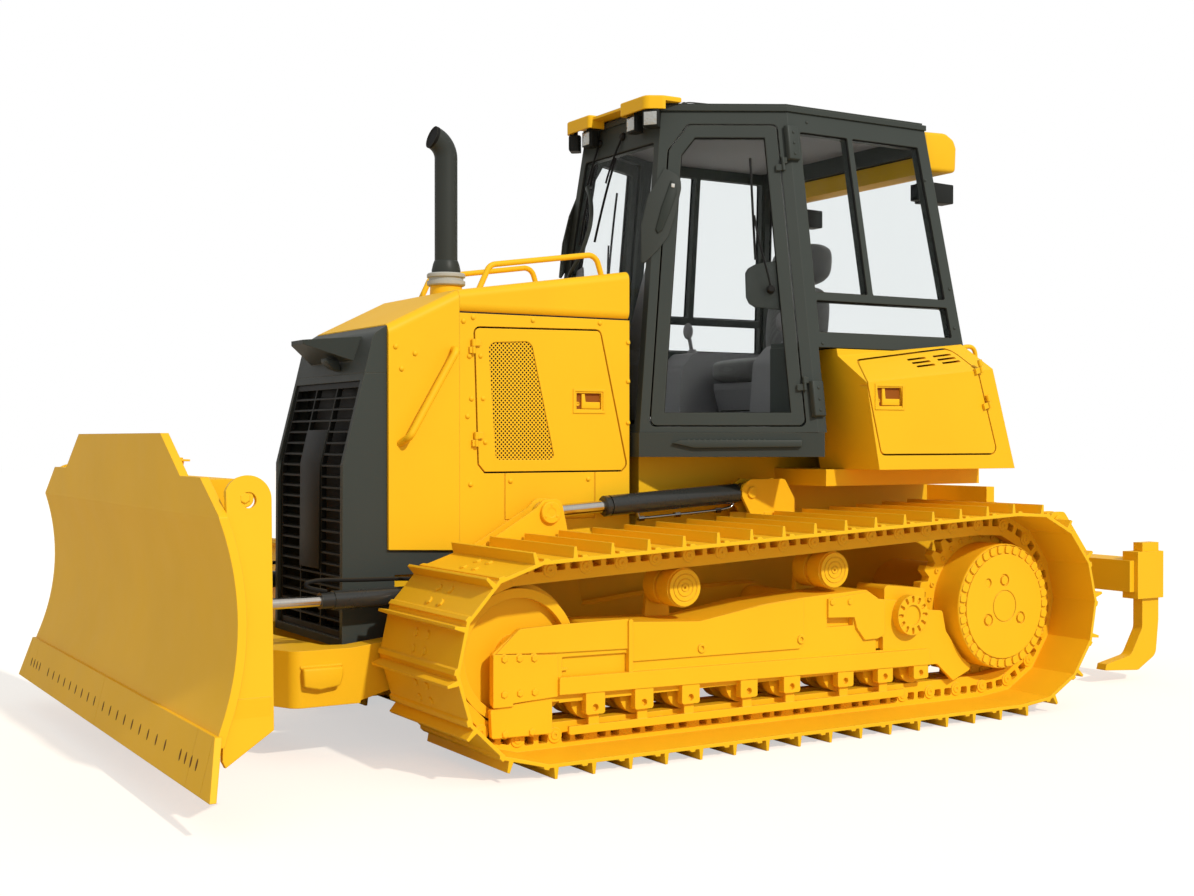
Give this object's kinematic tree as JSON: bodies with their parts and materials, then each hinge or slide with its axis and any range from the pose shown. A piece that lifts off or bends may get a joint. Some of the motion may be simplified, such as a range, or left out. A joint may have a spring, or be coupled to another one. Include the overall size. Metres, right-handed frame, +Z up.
{
  "type": "bulldozer",
  "caption": "Yellow crawler tractor with wide steel tracks, a curved front blade that lifts, angles and tilts, a glazed cab with side doors and a rear ripper with three shanks.",
  "frame": {"origin": "on the ground under the centre of the whole machine, blade and ripper included", "axes": "+Z up, the machine faces -Y, +X is its left side"},
  "size_m": [3.36, 5.835, 3.106],
  "materials": {
    "yellow_paint": "semi-gloss",
    "grey_paint": "satin",
    "black_paint": "satin",
    "chrome": "polished",
    "clear_glass": "clear",
    "cab_plastic": "matte",
    "seat_fabric": "woven"
  },
  "bodies": {
    "chassis": {"main_frame": "yellow_paint", "engine_block": "grey_paint", "nose_shell": "grey_paint", "nose_cap": "yellow_paint", "nose_grille": "grey_paint", "hood_front": "yellow_paint", "hood_top": "yellow_paint", "hood_sides": "yellow_paint", "exhaust_stack": "black_paint", "handrails": "yellow_paint", "cab_frame": "grey_paint", "cab_glass": "clear_glass", "cab_base": "grey_paint", "cab_roof": "grey_paint", "roof_fairings": "yellow_paint", "work_lamps": "grey_paint", "cab_interior": "cab_plastic", "seat_cushion": "seat_fabric", "seat_back": "seat_fabric", "platform": "yellow_paint", "rear_box_left": "yellow_paint", "rear_box_right": "yellow_paint", "track_left": "yellow_paint", "track_right": "yellow_paint", "track_frames": "yellow_paint", "rollers_and_idlers": "yellow_paint", "final_drives": "yellow_paint", "ripper_frame": "yellow_paint"},
    "c_frame": {"c_frame": "yellow_paint"},
    "yoke": {"yoke": "yellow_paint"},
    "blade": {"moldboard": "yellow_paint", "cutting_edges": "yellow_paint", "blade_frame": "yellow_paint"},
    "tilt_barrel": {"tilt_barrel": "black_paint"},
    "tilt_rod": {"tilt_rod": "chrome"},
    "ripper_arms": {"ripper_lower_arms": "yellow_paint"},
    "ripper_links": {"ripper_upper_links": "yellow_paint"},
    "ripper_beam": {"ripper_beam": "yellow_paint", "ripper_shanks": "yellow_paint"},
    "ripper_barrel": {"ripper_barrel": "black_paint"},
    "ripper_rod": {"ripper_rod": "chrome"},
    "lift_barrel_left": {"lift_barrel_left": "black_paint"},
    "lift_rod_left": {"lift_rod_left": "chrome"},
    "angle_gimbal_left": {"angle_gimbal_left": "yellow_paint"},
    "angle_barrel_left": {"angle_barrel_left": "black_paint"},
    "angle_rod_left": {"angle_rod_left": "chrome"},
    "cab_door_left": {"cab_door_left": "grey_paint", "door_glass_left": "clear_glass"},
    "engine_door_left": {"engine_door_left": "yellow_paint"},
    "box_door_left": {"box_door_left": "yellow_paint"},
    "lift_barrel_right": {"lift_barrel_right": "black_paint"},
    "lift_rod_right": {"lift_rod_right": "chrome"},
    "angle_gimbal_right": {"angle_gimbal_right": "yellow_paint"},
    "angle_barrel_right": {"angle_barrel_right": "black_paint"},
    "angle_rod_right": {"angle_rod_right": "chrome"},
    "cab_door_right": {"cab_door_right": "grey_paint", "door_glass_right": "clear_glass"},
    "engine_door_right": {"engine_door_right": "yellow_paint"},
    "box_door_right": {"box_door_right": "yellow_paint"}
  },
  "joints": [
    {"name": "blade_lift", "type": "hinge", "parent": "chassis", "child": "c_frame", "pos_m": [0, 0.1875, 0.58], "axis": [-1, 0, 0], "range_deg": [-11, 16]},
    {"name": "blade_angle", "type": "hinge", "parent": "c_frame", "child": "yoke", "pos_m": [0, -2.3525, 0.3625], "axis": [0, 0, 1], "range_deg": [-25, 25]},
    {"name": "blade_tilt", "type": "hinge", "parent": "yoke", "child": "blade", "pos_m": [0, -2.6325, 0.52], "axis": [0, -1, 0], "range_deg": [-6.9, 6.9]},
    {"name": "lift_barrel_left", "type": "hinge", "parent": "chassis", "child": "lift_barrel_left", "pos_m": [0.548, 0.1875, 1.118], "axis": [-1, 0, 0], "range_deg": [-11.25, 16.37]},
    {"name": "lift_rod_left", "type": "slide", "parent": "lift_barrel_left", "child": "lift_rod_left", "axis": [0, -0.9981, -0.0615], "range_m": [-0.15247, 0.10482]},
    {"name": "angle_swivel_left", "type": "hinge", "parent": "c_frame", "child": "angle_gimbal_left", "pos_m": [0.524, -1.4925, 0.628], "axis": [0, 0, 1], "range_deg": [-6.03, 6.03]},
    {"name": "angle_pitch_left", "type": "hinge", "parent": "angle_gimbal_left", "child": "angle_barrel_left", "pos_m": [0.524, -1.4925, 0.69], "axis": [-0.9991, -0.0423, 0], "range_deg": [-3.61, 3.61]},
    {"name": "angle_rod_left", "type": "slide", "parent": "angle_barrel_left", "child": "angle_rod_left", "axis": [0.0423, -0.9991, 0], "range_m": [-0.24697, 0.24697]},
    {"name": "lift_barrel_right", "type": "hinge", "parent": "chassis", "child": "lift_barrel_right", "pos_m": [-0.548, 0.1875, 1.118], "axis": [-1, 0, 0], "range_deg": [-11.25, 16.37]},
    {"name": "lift_rod_right", "type": "slide", "parent": "lift_barrel_right", "child": "lift_rod_right", "axis": [0, -0.9981, -0.0615], "range_m": [-0.15247, 0.10482]},
    {"name": "angle_swivel_right", "type": "hinge", "parent": "c_frame", "child": "angle_gimbal_right", "pos_m": [-0.524, -1.4925, 0.628], "axis": [0, 0, 1], "range_deg": [-6.03, 6.03]},
    {"name": "angle_pitch_right", "type": "hinge", "parent": "angle_gimbal_right", "child": "angle_barrel_right", "pos_m": [-0.524, -1.4925, 0.69], "axis": [-0.9991, 0.0423, 0], "range_deg": [-3.61, 3.61]},
    {"name": "angle_rod_right", "type": "slide", "parent": "angle_barrel_right", "child": "angle_rod_right", "axis": [-0.0423, -0.9991, 0], "range_m": [-0.24697, 0.24697]},
    {"name": "tilt_barrel", "type": "hinge", "parent": "yoke", "child": "tilt_barrel", "pos_m": [-0.12, -2.5025, 0.86], "axis": [0, -1, 0], "range_deg": [-5.8, 5.8]},
    {"name": "tilt_rod", "type": "slide", "parent": "tilt_barrel", "child": "tilt_rod", "axis": [1, 0, 0], "range_m": [-0.04173, 0.04173]},
    {"name": "ripper_lift", "type": "hinge", "parent": "chassis", "child": "ripper_arms", "pos_m": [0, 1.95692, 0.70766], "axis": [1, 0, 0], "range_deg": [-35, 40]},
    {"name": "ripper_link_swing", "type": "hinge", "parent": "chassis", "child": "ripper_links", "pos_m": [0, 1.95692, 1.00766], "axis": [1, 0, 0], "range_deg": [-35.7, 40.8]},
    {"name": "ripper_beam_level", "type": "hinge", "parent": "ripper_arms", "child": "ripper_beam", "pos_m": [0, 2.5675, 0.6], "axis": [1, 0, 0], "range_deg": [-40.8, 35.7]},
    {"name": "ripper_barrel_swing", "type": "hinge", "parent": "chassis", "child": "ripper_barrel", "pos_m": [0, 1.95692, 1.00766], "axis": [1, 0, 0], "range_deg": [-28.56, 32.64]},
    {"name": "ripper_rod", "type": "slide", "parent": "ripper_barrel", "child": "ripper_rod", "axis": [0, 0.8317, -0.5553], "range_m": [-0.17945, 0.15702]},
    {"name": "cab_door_left", "type": "hinge", "parent": "chassis", "child": "cab_door_left", "pos_m": [0.80731, 0.29129, 2.21396], "axis": [-0.1519, 0, 0.9884], "range_deg": [0, 130]},
    {"name": "cab_door_right", "type": "hinge", "parent": "chassis", "child": "cab_door_right", "pos_m": [-0.80731, 0.29129, 2.21396], "axis": [-0.1519, 0, -0.9884], "range_deg": [0, 130]},
    {"name": "engine_door_left", "type": "hinge", "parent": "chassis", "child": "engine_door_left", "pos_m": [0.468, -1.30449, 1.58649], "axis": [0, 0.0317, -0.9995], "range_deg": [0, 105]},
    {"name": "engine_door_right", "type": "hinge", "parent": "chassis", "child": "engine_door_right", "pos_m": [-0.468, -1.30449, 1.58649], "axis": [0, -0.0317, 0.9995], "range_deg": [0, 105]},
    {"name": "box_door_left", "type": "hinge", "parent": "chassis", "child": "box_door_left", "pos_m": [1.093, 1.33769, 1.59103], "axis": [0, -0.3141, 0.9494], "range_deg": [0, 100]},
    {"name": "box_door_right", "type": "hinge", "parent": "chassis", "child": "box_door_right", "pos_m": [-1.093, 1.33769, 1.59103], "axis": [0, 0.3141, -0.9494], "range_deg": [0, 100]}
  ],
  "couplings": [
    {"joint": "lift_barrel_left", "follows": "blade_lift", "ratio": 1.0029},
    {"joint": "lift_rod_left", "follows": "blade_lift", "m_per_rad": -0.53527},
    {"joint": "angle_swivel_left", "follows": "blade_angle", "ratio": 0.23662},
    {"joint": "angle_pitch_left", "follows": "blade_tilt", "ratio": 0.51337},
    {"joint": "angle_rod_left", "follows": "blade_angle", "m_per_rad": -0.55491},
    {"joint": "lift_barrel_right", "follows": "blade_lift", "ratio": 1.0029},
    {"joint": "lift_rod_right", "follows": "blade_lift", "m_per_rad": -0.53527},
    {"joint": "angle_swivel_right", "follows": "blade_angle", "ratio": 0.23662},
    {"joint": "angle_pitch_right", "follows": "blade_tilt", "ratio": -0.51337},
    {"joint": "angle_rod_right", "follows": "blade_angle", "m_per_rad": 0.55491},
    {"joint": "tilt_barrel", "follows": "blade_tilt", "ratio": 0.82443},
    {"joint": "tilt_rod", "follows": "blade_tilt", "m_per_rad": -0.3397},
    {"joint": "ripper_link_swing", "follows": "ripper_lift", "ratio": 1},
    {"joint": "ripper_beam_level", "follows": "ripper_lift", "ratio": -1},
    {"joint": "ripper_barrel_swing", "follows": "ripper_lift", "ratio": 0.79994},
    {"joint": "ripper_rod", "follows": "ripper_lift", "m_per_rad": -0.252}
  ]
}
